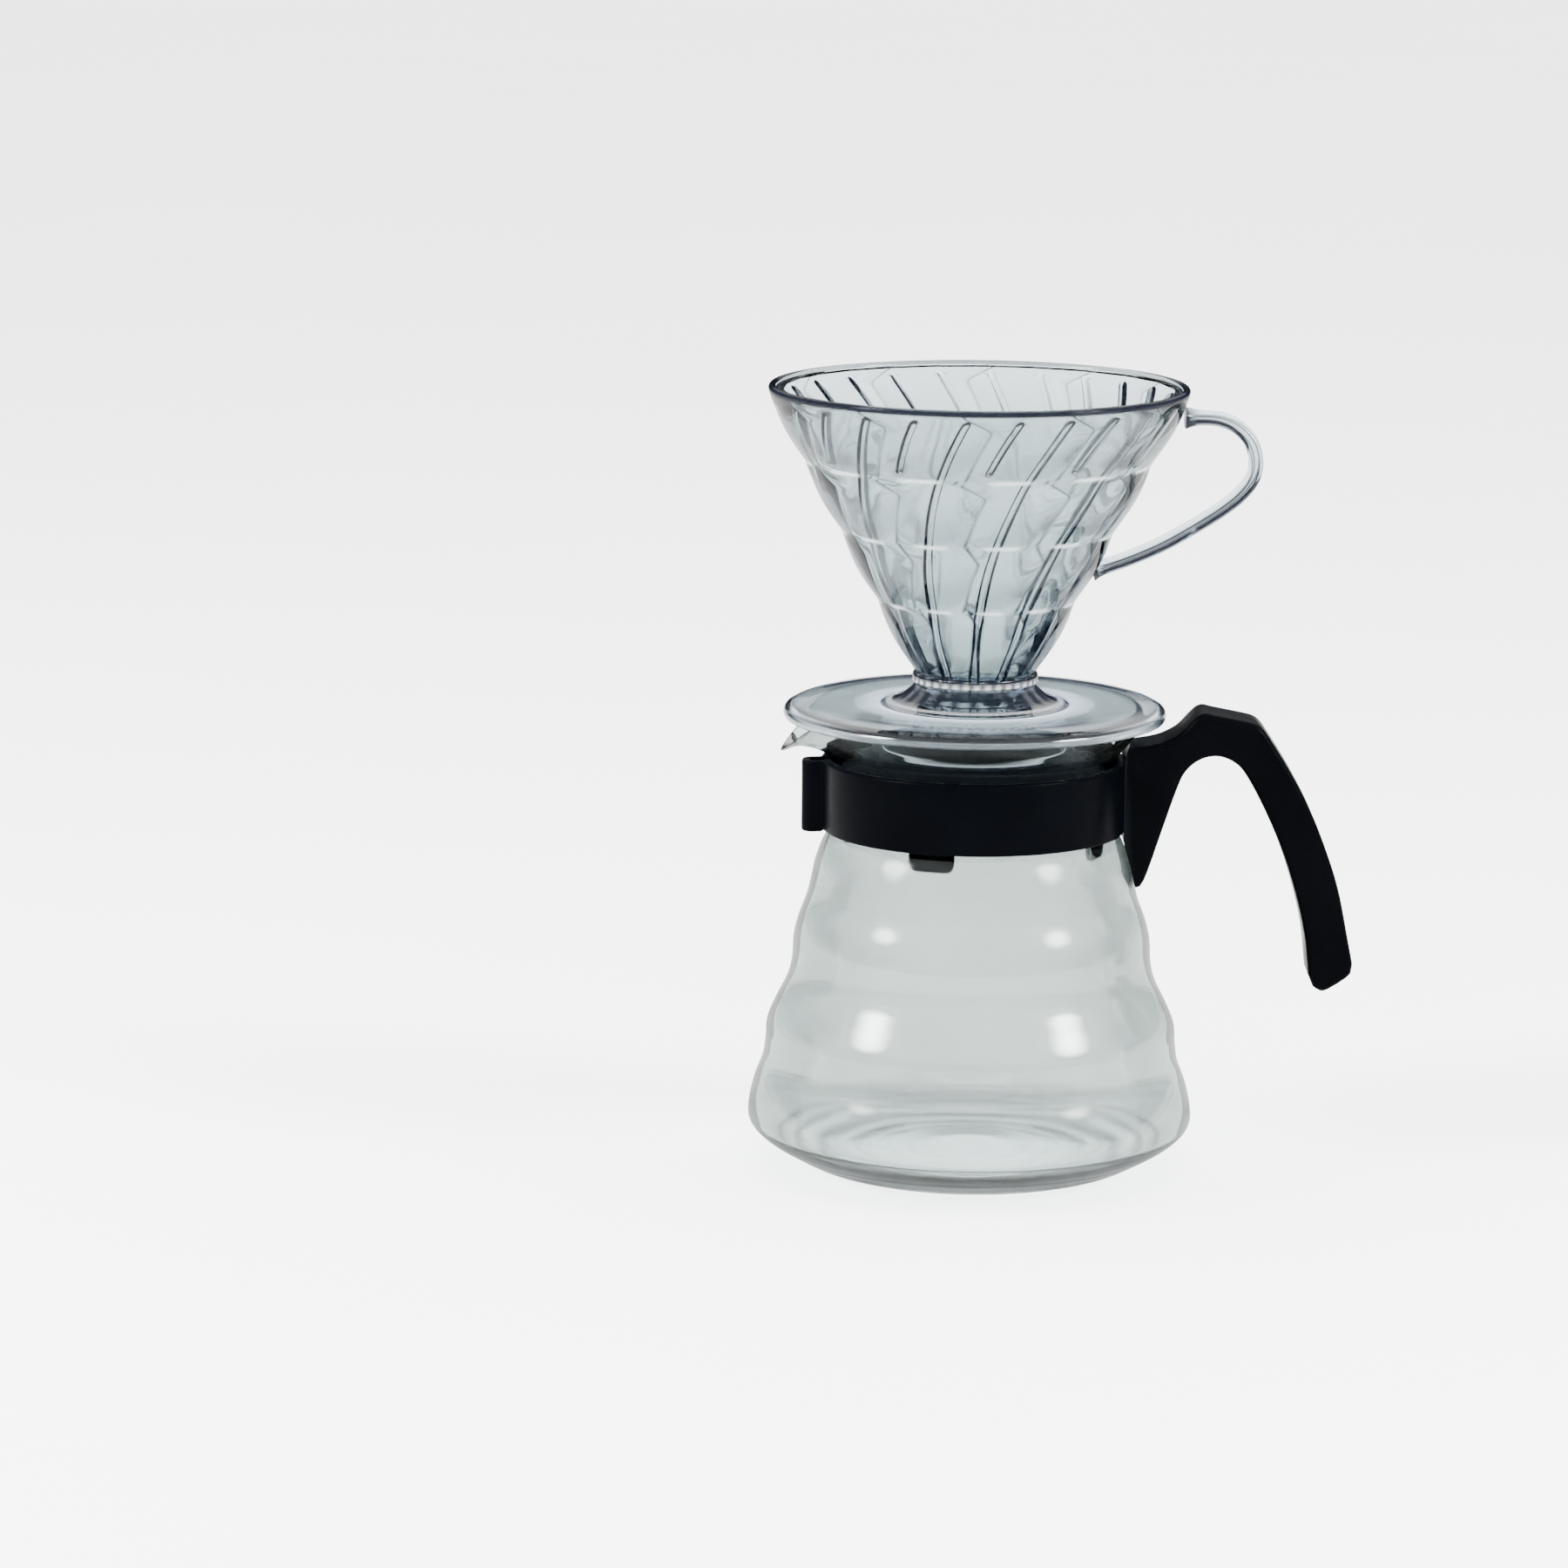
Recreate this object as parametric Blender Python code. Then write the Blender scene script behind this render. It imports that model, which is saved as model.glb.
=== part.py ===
"""Pour-over coffee dripper standing on its lidded glass server.

Metres, +Z up. The server's underside lies on z = 0 and its axis is the Z axis. Both handles point
along +X and the pouring lip along -X. Six moulded or blown pieces: the ribbed cone, the plate it
is pressed into, the lid, the glass, the strap around the glass's neck and the hooked handle.
"""

import math

import bmesh
import bpy

GAP = 0.0003

# Cone
RIM_Z = 0.2195
RIM_R = 0.0580
TIER_TOP_Z = 0.2180
TIER_LOW_Z = 0.1408
TIER_LOW_R = 0.01715
TIERS = 4
TIER_BULGE = 0.0013
INNER_TOP_R = 0.0556
HOLE_R = 0.0095
HOLE_Z = 0.1309
RIB_SECTORS = 12
RIB_HEIGHT = 0.0018
RIB_WIDTH_TOP = 0.0022
RIB_WIDTH_LOW = 0.0027
RIB_PHASE = math.radians(-3.0)
RIB_TOP_Z = 0.2165
SHORT_RIB_LOW_Z = 0.2010
COLUMNS = 8
BEAD_R = 0.0174
BEAD_LOW_Z = 0.1367
SPIGOT_R = 0.0132

# Loop handle moulded on the cone
LOOP_THICK = 0.0041
LOOP_WIDE = 0.0070

# Plate under the cone
PLATE_R = 0.0531
PLATE_TOP_Z = 0.1311
PLATE_LOW_Z = 0.1285
SKIRT_OUT_R = 0.0256
SKIRT_IN_R = 0.0240
SKIRT_LOW_Z = 0.1176

# Glass
WALL = 0.0020
BASE_R = 0.0369
NECK_R = 0.0395
LIP_Z = PLATE_LOW_Z - GAP
LIP_R = 0.0464
SPOUT_OUT = 0.0078
SPOUT_DROP = 0.0112
SPOUT_LOW_Z = 0.1140
SPOUT_HALF = math.radians(15.0)

# Lid
LID_R = 0.0372
LID_OPEN_R = 0.0200
LID_TOP_Z = SKIRT_LOW_Z - GAP
LEG_LOW_Z = 0.0895
LEG_PHASE = math.radians(-20.0)
LEG_HALF = math.radians(10.3)

# Strap
STRAP_IN_R = NECK_R + GAP
STRAP_THICK = 0.0025
STRAP_LOW_Z = 0.0956
STRAP_TOP_Z = 0.1155
FOLD_X = -0.0478
FOLD_HALF_Y = 0.0033
FOLD_DROP = 0.0009

# Hooked handle
HANDLE_HALF_Y = 0.0088
HANDLE_BEVEL = 0.0020

# Finishes
CLEAR = (0.80, 0.84, 0.86)
GLASS = (0.84, 0.88, 0.87)
BLACK = (0.012, 0.014, 0.020)


def clear_scene():
    for obj in list(bpy.data.objects):
        bpy.data.objects.remove(obj)


def plastic(name, colour, roughness, alpha=1.0):
    """A plain moulded finish; alpha under one lets the light through."""
    mat = bpy.data.materials.new(name)
    mat.use_nodes = True
    bsdf = mat.node_tree.nodes["Principled BSDF"]
    bsdf.inputs["Base Color"].default_value = (*colour, 1.0)
    bsdf.inputs["Roughness"].default_value = roughness
    bsdf.inputs["Metallic"].default_value = 0.0
    bsdf.inputs["Alpha"].default_value = alpha
    return mat


def new_object(name, bm, mat):
    """Turns a bmesh into a named, smooth-shaded object with its normals facing out."""
    bmesh.ops.recalc_face_normals(bm, faces=bm.faces)
    mesh = bpy.data.meshes.new(name)
    bm.to_mesh(mesh)
    bm.free()
    obj = bpy.data.objects.new(name, mesh)
    bpy.context.scene.collection.objects.link(obj)
    if mat:
        mesh.materials.append(mat)
    mesh.shade_smooth()
    mesh.set_sharp_from_angle(angle=math.radians(32))
    return obj


def skin(rings, closed):
    """Faces from each ring to the next. A closed skin joins the last ring to the first; an open
    one is capped at both ends."""
    bm = bmesh.new()
    loops = [[bm.verts.new(p) for p in ring] for ring in rings]
    pairs = list(zip(loops, loops[1:]))
    if closed:
        pairs.append((loops[-1], loops[0]))
    for a, b in pairs:
        count = len(a)
        for i in range(count):
            j = (i + 1) % count
            bm.faces.new((a[i], a[j], b[j], b[i]))
    if not closed:
        bm.faces.new(loops[0])
        bm.faces.new(loops[-1])
    return bm


def even_angles(count):
    return [2 * math.pi * i / count for i in range(count)]


def turned(profile, angles):
    """A closed (radius, height) outline turned around Z at the given angles."""
    rings = [[(r * math.cos(a), r * math.sin(a), z) for a in angles] for r, z in profile]
    return skin(rings, True)


def turned_solid(profile, angles):
    """An outline whose two ends lie on flat discs, turned around Z and capped."""
    rings = [[(r * math.cos(a), r * math.sin(a), z) for a in angles] for r, z in profile]
    return skin(rings, False)


def curve_through(knots, steps):
    """A smooth line through the knots, with a number of steps from each to the next."""
    points = []
    for i in range(len(knots) - 1):
        before = knots[max(i - 1, 0)]
        start = knots[i]
        end = knots[i + 1]
        after = knots[min(i + 2, len(knots) - 1)]
        for k in range(steps):
            t = k / steps
            points.append(
                tuple(
                    0.5 * (2 * b + (c - a) * t + (2 * a - 5 * b + 4 * c - d) * t * t
                           + (3 * b - a - 3 * c + d) * t ** 3)
                    for a, b, c, d in zip(before, start, end, after)
                )
            )
    points.append(tuple(knots[-1]))
    return points


def arc(cx, cy, radius, start, end, steps):
    """Points on an arc from one angle to another, in degrees."""
    turn = [math.radians(start + (end - start) * i / steps) for i in range(steps + 1)]
    return [(cx + radius * math.cos(a), cy + radius * math.sin(a)) for a in turn]


def extruded(outline, low, high, place):
    """An outline given thickness: place(u, v, w) puts its points in space."""
    rings = [[place(u, v, w) for u, v in outline] for w in (low, high)]
    return skin(rings, False)


def boolean(obj, tool, operation):
    """Joins or cuts obj with tool, which is then removed."""
    mod = obj.modifiers.new("join", "BOOLEAN")
    mod.operation = operation
    mod.solver = "EXACT"
    mod.object = tool
    bpy.context.view_layer.objects.active = obj
    bpy.ops.object.modifier_apply(modifier=mod.name)
    bpy.data.objects.remove(tool)
    obj.data.shade_smooth()
    obj.data.set_sharp_from_angle(angle=math.radians(32))


def bevel(obj, width, segments):
    mod = obj.modifiers.new("round", "BEVEL")
    mod.width = width
    mod.segments = segments
    mod.limit_method = "ANGLE"
    mod.angle_limit = math.radians(50)
    bpy.context.view_layer.objects.active = obj
    bpy.ops.object.modifier_apply(modifier=mod.name)
    obj.data.shade_smooth()
    obj.data.set_sharp_from_angle(angle=math.radians(32))


def ease(t):
    t = min(max(t, 0.0), 1.0)
    return t * t * (3 - 2 * t)


def twist(z):
    """How far the ribs have turned at a height: slow at the hole, quicker towards the rim."""
    t = (z - TIER_LOW_Z) / (RIB_TOP_Z - TIER_LOW_Z)
    t = max(t, 0.0)
    return math.radians(8.6 * t + 19.7 * t * t)


def outer_radius(z):
    slope = (RIM_R - TIER_LOW_R) / (TIER_TOP_Z - TIER_LOW_Z)
    return TIER_LOW_R + slope * (z - TIER_LOW_Z)


def inner_radius(z):
    slope = (INNER_TOP_R - HOLE_R) / (TIER_TOP_Z - HOLE_Z)
    return HOLE_R + slope * (z - HOLE_Z)


def tier_ring(tier, up):
    """A ring of the outside: up runs from 0 at the tier's lower seam to 1 at its upper seam. Each
    tier is a row of pillows, half a pillow round from the row below."""
    z = TIER_LOW_Z + (TIER_TOP_Z - TIER_LOW_Z) * (tier + up) / TIERS
    count = RIB_SECTORS * COLUMNS
    ring = []
    for i in range(count):
        across = ((i + COLUMNS // 2 * (tier % 2)) % COLUMNS) / COLUMNS
        pillow = math.sqrt(4 * across * (1 - across))
        r = outer_radius(z) + TIER_BULGE * 4 * up * (1 - up) * (0.45 + 0.55 * pillow)
        a = 2 * math.pi * i / count + RIB_PHASE - math.pi / 2 + twist(z)
        ring.append((r * math.cos(a), r * math.sin(a), z))
    return ring


def plain_ring(r, z):
    """A smooth ring of the cone with the outside's spacing of points."""
    count = RIB_SECTORS * COLUMNS
    angles = [a + RIB_PHASE - math.pi / 2 + twist(z) for a in even_angles(count)]
    return [(r * math.cos(a), r * math.sin(a), z) for a in angles]


def ribbed_ring(z, long_rib, short_rib):
    """A ring of the inside: a long and a short rib in each sector, each 0 to 1 of full height."""
    r = inner_radius(z)
    up = (z - HOLE_Z) / (TIER_TOP_Z - HOLE_Z)
    half = (RIB_WIDTH_LOW + (RIB_WIDTH_TOP - RIB_WIDTH_LOW) * up) / 2 / r
    sector = 2 * math.pi / RIB_SECTORS
    ring = []
    for i in range(RIB_SECTORS):
        for middle, height in ((0.0, long_rib), (sector / 2, short_rib)):
            for across, share in ((-1.0, 0.0), (-0.5, 1.0), (0.5, 1.0), (1.0, 0.0)):
                a = i * sector + middle + across * half + RIB_PHASE - math.pi / 2 + twist(z)
                inward = r - RIB_HEIGHT * share * height
                ring.append((inward * math.cos(a), inward * math.sin(a), z))
    return ring


def cone_shell():
    """Outside from the spigot to the rim, over the lip, and down the ribbed inside."""
    rings = [
        plain_ring(SPIGOT_R - 0.0006, HOLE_Z),
        plain_ring(SPIGOT_R, BEAD_LOW_Z - 0.0030),
        plain_ring(SPIGOT_R, BEAD_LOW_Z),
        plain_ring(BEAD_R - 0.0005, BEAD_LOW_Z),
        plain_ring(BEAD_R, BEAD_LOW_Z + 0.0006),
        plain_ring(BEAD_R, BEAD_LOW_Z + 0.0024),
        plain_ring(BEAD_R - 0.0007, BEAD_LOW_Z + 0.0034),
    ]
    for tier in range(TIERS):
        rings += [tier_ring(tier, up) for up in (0.0, 0.25, 0.62)]
    rings += [
        plain_ring(RIM_R, TIER_TOP_Z),
        plain_ring(RIM_R - 0.0003, RIM_Z - 0.0004),
        plain_ring(RIM_R - 0.0010, RIM_Z),
        plain_ring(RIM_R - 0.0017, RIM_Z - 0.0002),
    ]
    heights = [
        (0.2180, 0.0, 0.0),
        (RIB_TOP_Z, 0.0, 0.0),
        (RIB_TOP_Z - 0.0016, 1.0, 1.0),
        (SHORT_RIB_LOW_Z + 0.0016, 1.0, 1.0),
        (SHORT_RIB_LOW_Z, 1.0, 0.0),
        (0.1905, 1.0, 0.0),
        (0.1785, 1.0, 0.0),
        (0.1665, 1.0, 0.0),
        (0.1545, 1.0, 0.0),
        (0.1420, 1.0, 0.0),
        (HOLE_Z + 0.0010, 0.7, 0.0),
        (HOLE_Z, 0.0, 0.0),
    ]
    rings += [ribbed_ring(*h) for h in heights]
    return skin(rings, True)


def loop_path():
    """Centre line of the cone's finger loop, from inside the wall at the top to the bottom foot."""
    knots = [
        (0.0538, 0.2106), (0.0600, 0.2109), (0.0662, 0.2105), (0.0712, 0.2084),
        (0.0750, 0.2043), (0.0764, 0.1990), (0.0755, 0.1942), (0.0720, 0.1895),
        (0.0664, 0.1850), (0.0590, 0.1803), (0.0510, 0.1757), (0.0420, 0.1717),
        (0.0345, 0.1691), (0.0306, 0.1679),
    ]
    return curve_through(knots, 2)


def loop_bar():
    """The finger loop: a flattened bar swept along its path, with thicker feet."""
    path = loop_path()
    rings = []
    last = len(path) - 1
    for i, (x, z) in enumerate(path):
        ahead = path[min(i + 1, last)]
        behind = path[max(i - 1, 0)]
        dx = ahead[0] - behind[0]
        dz = ahead[1] - behind[1]
        length = math.hypot(dx, dz)
        foot = 1.0 + 0.30 * ease(1 - min(i, last - i) / 4)
        ring = []
        for a in even_angles(10):
            out = LOOP_THICK / 2 * foot * math.copysign(abs(math.sin(a)) ** 0.8, math.sin(a))
            wide = LOOP_WIDE / 2 * foot * math.copysign(abs(math.cos(a)) ** 0.8, math.cos(a))
            ring.append((x - dz / length * out, wide, z + dx / length * out))
        rings.append(ring)
    return skin(rings, False)


def make_cone(mat):
    cone = new_object("dripper_cone", cone_shell(), mat)
    boolean(cone, new_object("loop_tool", loop_bar(), mat), "UNION")
    return cone


def make_base(mat):
    """Hub, plate with a turned-down edge, and the skirt that drops onto the lid."""
    hub_r = SPIGOT_R + GAP
    hub_top = BEAD_LOW_Z - GAP
    top = PLATE_TOP_Z
    low = PLATE_LOW_Z
    flare = [
        (0.0170, hub_top), (0.0176, hub_top - 0.0006), (0.0184, 0.1346),
        (0.0204, 0.1330), (0.0234, 0.1318), (0.0275, top),
    ]
    edge = [
        (PLATE_R - 0.0030, top - 0.0003), (PLATE_R - 0.0008, top - 0.0012),
        (PLATE_R, top - 0.0026), (PLATE_R - 0.0002, top - 0.0037),
        (PLATE_R - 0.0008, top - 0.0041), (PLATE_R - 0.0018, top - 0.0041),
        (PLATE_R - 0.0024, low - 0.0004), (PLATE_R - 0.0034, low),
    ]
    skirt = [
        (SKIRT_OUT_R + 0.0006, low), (SKIRT_OUT_R, low - 0.0006),
        (SKIRT_OUT_R, SKIRT_LOW_Z + 0.0003), (SKIRT_OUT_R - 0.0003, SKIRT_LOW_Z),
        (SKIRT_IN_R + 0.0003, SKIRT_LOW_Z), (SKIRT_IN_R, SKIRT_LOW_Z + 0.0003),
        (SKIRT_IN_R, low), (hub_r, low),
    ]
    profile = [(hub_r, hub_top)] + flare + edge + skirt
    return new_object("dripper_base", turned(profile, even_angles(52)), mat)


def glass_outside():
    """Outside of the server from the foot to the neck: three soft waves over a full belly."""
    return [
        (BASE_R, 0.0), (0.0455, 0.0020), (0.0520, 0.0052), (0.0582, 0.0090),
        (0.0617, 0.0128), (0.0618, 0.0175), (0.0603, 0.0240), (0.0581, 0.0300),
        (0.0573, 0.0355), (0.0569, 0.0405), (0.0547, 0.0460), (0.0515, 0.0525),
        (0.0501, 0.0580), (0.0497, 0.0645), (0.0484, 0.0700), (0.0462, 0.0760),
        (0.0449, 0.0815), (0.0438, 0.0865), (0.0417, 0.0920), (NECK_R, STRAP_LOW_Z),
    ]


def glass_profile():
    """The whole wall: outside, flared lip, and the inside down to a thick floor with its dimple."""
    lip = [
        (NECK_R, STRAP_TOP_Z), (0.0404, 0.1175), (0.0424, 0.1200), (0.0446, 0.1226),
        (0.0460, 0.1252), (LIP_R, LIP_Z - 0.0010), (LIP_R - 0.0004, LIP_Z - 0.0002),
        (LIP_R - 0.0010, LIP_Z), (LIP_R - 0.0016, LIP_Z - 0.0003),
        (LIP_R - 0.0020, LIP_Z - 0.0012), (0.0437, 0.1246), (0.0409, 0.1206),
        (0.0382, 0.1172),
    ]
    neck_in = [(LID_R + GAP, 0.1150), (LID_R + GAP, 0.1115), (0.0369, 0.1000), (0.0370, 0.0965)]
    belly = [(r - WALL, z + 0.0004) for r, z in reversed(glass_outside()[4:-1:2])]
    floor = [(0.0572, 0.0098), (0.0540, 0.0066), (0.0490, 0.0047), (0.0170, 0.0036),
             (0.0160, 0.0031)]
    return glass_outside() + lip + neck_in + belly + floor


def spout(point):
    """Draws the lip out and down around -X into a pouring beak."""
    x, y, z = point
    off = math.atan2(y, -x)
    side = math.exp(-((off / SPOUT_HALF) ** 2))
    up = max((z - SPOUT_LOW_Z) / (LIP_Z - SPOUT_LOW_Z), 0.0)
    r = math.hypot(x, y)
    grow = 1 + SPOUT_OUT * side * up ** 1.4 / max(r, 0.01)
    pinch = 1 - 0.35 * side * up * abs(math.sin(off))
    return (x * grow, y * grow * pinch, z - SPOUT_DROP * side * up ** 2)


def make_glass(mat):
    """A full turn of the profile, closer spaced at the beak, then closed at its two centres."""
    angles = [a + 0.38 * math.sin(a) for a in even_angles(54)]
    rings = []
    for r, z in glass_profile():
        rings.append([spout((r * math.cos(a), r * math.sin(a), z)) for a in angles])
    return new_object("server_glass", skin(rings, False), mat)


def lid_profile():
    """Raised centre with the opening, a dished slope, and a plug wall that tapers into the neck."""
    top = LID_TOP_Z
    return [
        (LID_OPEN_R, top - 0.0018), (LID_OPEN_R, top - 0.0003), (LID_OPEN_R + 0.0003, top),
        (0.0272, top), (0.0279, top - 0.0005), (0.0300, 0.1157), (0.0335, 0.1137),
        (LID_R - 0.0008, 0.1126), (LID_R, 0.1120), (LID_R, 0.1112),
        (0.0366, 0.0990), (0.0363, 0.0985), (0.0350, 0.0985),
        (0.0352, 0.1105), (0.0330, 0.1118), (0.0270, 0.1149),
    ]


def make_lid(mat):
    """The turned disc with four rounded legs hanging into the glass."""
    lid = new_object("server_lid", turned(lid_profile(), even_angles(52)), mat)
    for i in range(4):
        middle = LEG_PHASE + i * math.pi / 2
        rings = []
        for z, share in ((0.1000, 1.0), (0.0915, 1.0), (0.0902, 0.88), (LEG_LOW_Z, 0.62)):
            ring = []
            for r, turns in ((0.0351, (-1, -0.5, 0, 0.5, 1)), (0.0364, (1, 0.5, 0, -0.5, -1))):
                ring += [(r, middle + t * LEG_HALF * share) for t in turns]
            rings.append([(r * math.cos(a), r * math.sin(a), z) for r, a in ring])
        boolean(lid, new_object("leg_tool", skin(rings, False), mat), "UNION")
    return lid


def strap_path():
    """Centre line of the strap in plan: around the neck, then out and back in a squared fold."""
    r = STRAP_IN_R + STRAP_THICK / 2
    turn = 0.0017
    centre_y = FOLD_HALF_Y + turn
    away = math.asin(centre_y / (r + turn))
    centre_x = -(r + turn) * math.cos(away)
    stop = 180 - math.degrees(away)
    corner = 0.0018
    end_x = FOLD_X + STRAP_THICK / 2 + corner
    side = FOLD_HALF_Y - corner
    half = arc(centre_x, centre_y, turn, stop - 180, -90, 4)
    half += arc(end_x, side, corner, 90, 180, 4)
    ring = arc(0, 0, r, -stop, stop, 54)
    return ring[:-1] + half + [(x, -y) for x, y in reversed(half)][:-1]


def make_strap(mat):
    """The strap: a flat section with eased edges carried around its path, its fold hanging a
    little lower, and the tongue that the handle is pushed onto."""
    path = strap_path()
    count = len(path)
    ease_by = 0.0005
    half = STRAP_THICK / 2
    low = STRAP_LOW_Z
    top = STRAP_TOP_Z
    section = [
        (-half, low + ease_by), (-half + ease_by, low), (half - ease_by, low),
        (half, low + ease_by), (half, top - ease_by), (half - ease_by, top),
        (-half + ease_by, top), (-half, top - ease_by),
    ]
    rings = []
    for i, (x, y) in enumerate(path):
        ahead = path[(i + 1) % count]
        behind = path[i - 1]
        dx = ahead[0] - behind[0]
        dy = ahead[1] - behind[1]
        length = math.hypot(dx, dy)
        drop = FOLD_DROP * ease((-x - 0.0400) / 0.0030)
        rings.append([(x + dy / length * n, y - dx / length * n, z - drop) for n, z in section])
    strap = new_object("neck_strap", skin(rings, True), mat)
    boolean(strap, new_object("tongue_tool", tongue(0.0), mat), "UNION")
    return strap


def tongue(grow):
    """Dovetail between strap and handle; the handle's pocket is the same shape grown."""
    inner_x = STRAP_IN_R + STRAP_THICK - 0.0012
    outer_x = 0.0453
    outline = [
        (inner_x - grow, -0.0042 - grow), (outer_x + grow, -0.0056 - grow),
        (outer_x + grow, 0.0056 + grow), (inner_x - grow, 0.0042 + grow),
    ]
    return extruded(outline, 0.0975 - grow, 0.1130 + grow, lambda u, v, w: (u, v, w))


def handle_outline():
    """Side view of the handle: neck block with its wedge, thumb horn, arch and sweeping grip."""
    shoulder = [(0.0380, 0.1192), (0.0445, 0.1200), (0.0510, 0.1212), (0.0554, 0.1232)]
    horn = [(0.0576, 0.1250), (0.0597, 0.1273), (0.0616, 0.1291), (0.0636, 0.1298),
            (0.0662, 0.1292), (0.0745, 0.1276), (0.0780, 0.1266), (0.0800, 0.1249)]
    back = curve_through(
        [(0.0812, 0.1232), (0.0869, 0.1142), (0.0923, 0.1044), (0.0970, 0.0935),
         (0.1014, 0.0805), (0.1046, 0.0655), (0.1059, 0.0592)], 3)
    tip = [(0.1055, 0.0566), (0.1040, 0.0550), (0.0992, 0.0519), (0.0970, 0.0515),
           (0.0950, 0.0527)]
    front = curve_through(
        [(0.0936, 0.0560), (0.0923, 0.0674), (0.0895, 0.0792), (0.0856, 0.0910),
         (0.0804, 0.1028), (0.0750, 0.1126), (0.0713, 0.1162), (0.0667, 0.1176),
         (0.0620, 0.1164), (0.0583, 0.1131), (0.0560, 0.1080), (0.0523, 0.0969),
         (0.0490, 0.0866), (0.0474, 0.0823)], 2)
    foot = [(0.0464, 0.0807), (0.0452, 0.0803), (0.0380, 0.0803)]
    return shoulder + horn + back + tip + front + foot


def clearance_tool(mat):
    """Strap and glass grown by the fit: what the handle's inner face is hollowed with."""
    strap_r = STRAP_IN_R + STRAP_THICK + GAP
    profile = [(0.0505 + GAP, 0.0560), (0.0503, 0.0645), (0.0490, 0.0700), (0.0468, 0.0760),
               (0.0455, 0.0815), (0.0444, 0.0865), (0.0428, 0.0920), (strap_r, 0.0940),
               (strap_r, 0.1160), (0.0432, 0.1200), (0.0454, 0.1226), (0.0470, 0.1260)]
    return new_object("clearance_tool", turned_solid(profile, even_angles(72)), mat)


def make_handle(mat):
    handle = new_object(
        "server_handle",
        extruded(handle_outline(), -HANDLE_HALF_Y, HANDLE_HALF_Y, lambda u, v, w: (u, w, v)),
        mat,
    )
    bevel(handle, HANDLE_BEVEL, 2)
    boolean(handle, clearance_tool(mat), "DIFFERENCE")
    boolean(handle, new_object("pocket_tool", tongue(GAP), mat), "DIFFERENCE")
    return handle


def main():
    clear_scene()
    make_cone(plastic("cone_clear", CLEAR, 0.06, 0.35))
    make_base(plastic("base_clear", CLEAR, 0.06, 0.35))
    make_glass(plastic("server_glass", GLASS, 0.03, 0.30))
    make_lid(plastic("lid_black", BLACK, 0.36))
    make_strap(plastic("strap_black", BLACK, 0.34))
    make_handle(plastic("handle_black", BLACK, 0.32))


main()
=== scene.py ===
"""Looks for a pour-over dripper standing on its glass server: fine meshes, finishes, light, camera.

Metres, +Z up, the server's underside on z = 0, handles along +X, the pouring lip along -X.
"""

import math

import bmesh
import bpy
from mathutils import Matrix, Vector

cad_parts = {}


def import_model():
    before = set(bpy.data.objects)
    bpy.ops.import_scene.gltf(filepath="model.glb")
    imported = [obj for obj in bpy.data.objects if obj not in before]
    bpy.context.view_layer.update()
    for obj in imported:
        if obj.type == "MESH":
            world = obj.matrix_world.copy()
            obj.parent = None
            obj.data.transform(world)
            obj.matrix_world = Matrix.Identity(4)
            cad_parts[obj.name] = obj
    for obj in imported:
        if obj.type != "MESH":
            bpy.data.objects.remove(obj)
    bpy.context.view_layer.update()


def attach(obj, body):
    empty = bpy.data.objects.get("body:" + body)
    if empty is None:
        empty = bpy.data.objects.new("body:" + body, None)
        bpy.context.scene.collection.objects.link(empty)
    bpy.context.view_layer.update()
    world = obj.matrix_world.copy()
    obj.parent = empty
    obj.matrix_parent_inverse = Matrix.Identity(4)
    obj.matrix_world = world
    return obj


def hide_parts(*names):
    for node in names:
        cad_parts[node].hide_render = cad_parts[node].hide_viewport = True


# Turns are about Z from +X; the cone's sectors are counted from the front, -Y.
FRONT = -math.pi / 2

# Cone
RIM_Z = 0.2195
RIM_R = 0.0580
RIM_ROUND = 0.0011
TIERS = 4
TIER_TOP_Z = 0.2180
TIER_LOW_Z = 0.1408
TIER_LOW_R = 0.01715
TIER_H = (TIER_TOP_Z - TIER_LOW_Z) / TIERS
TIER_RINGS = 22
TIER_BULGE = 0.0013
PILLOW_BULGE = 0.58
PILLOW_FLAT = 3.2
SECTORS = 12
SECTOR = 2 * math.pi / SECTORS
SECTOR_COLUMNS = 40
INNER_TOP_R = 0.0556
HOLE_R = 0.0095
HOLE_Z = 0.1309
BEAD_R = 0.0174
BEAD_LOW_Z = 0.1367
# Dashes of painted shade round the bead.
BEAD_SHADE_DASHES = 2 * SECTORS
# Bars of painted highlight on the bead.
BEAD_PAINTED_GLINTS = 3 * SECTORS
SPIGOT_R = 0.0132

# Valleys between the pillows: for each tier the turn in degrees at its foot, at the place
# where a valley steps back, and at its top.
CREASES = ((-6, 0, -6), (-9, -1, -6), (-7, 1, -9), (-6, 2, -7))
CREASE_STEP = 0.76

# Ribs inside the cone: a long one and a short one in each sector. The twist is in degrees at
# the top: a steady part and one that grows towards the rim.
RIB_PITCH = SECTOR / 2
RIB_TWIST = (8.6, 19.7)
RIB_HEIGHT = 0.0018
RIB_WIDTH_TOP = 0.0022
RIB_WIDTH_LOW = 0.0027
RIB_PHASE = math.radians(-3.0)
RIB_TOP_Z = 0.2165
RIB_TIP = 0.0013
RIB_RING_GAP = 0.0014
SHORT_RIB_LOW_Z = 0.2010
SHORT_RIB_HALF = math.radians(1.2)

# Loop handle on the cone
LOOP_THICK = 0.0041
LOOP_WIDE = 0.0070
LOOP_COLUMNS = 56
LOOP_SQUARE = 0.72
LOOP_FOOT = 0.42
LOOP_FOOT_STEPS = 12

# Plate under the cone
PLATE_R = 0.0531
PLATE_TOP_Z = 0.1311
PLATE_LOW_Z = 0.1285
SKIRT_OUT_R = 0.0256
SKIRT_IN_R = 0.0240
SKIRT_LOW_Z = 0.1176
SKIRT_ROUND = 0.0008
SKIRT_FOOT_ROUND = 0.0004

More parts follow.
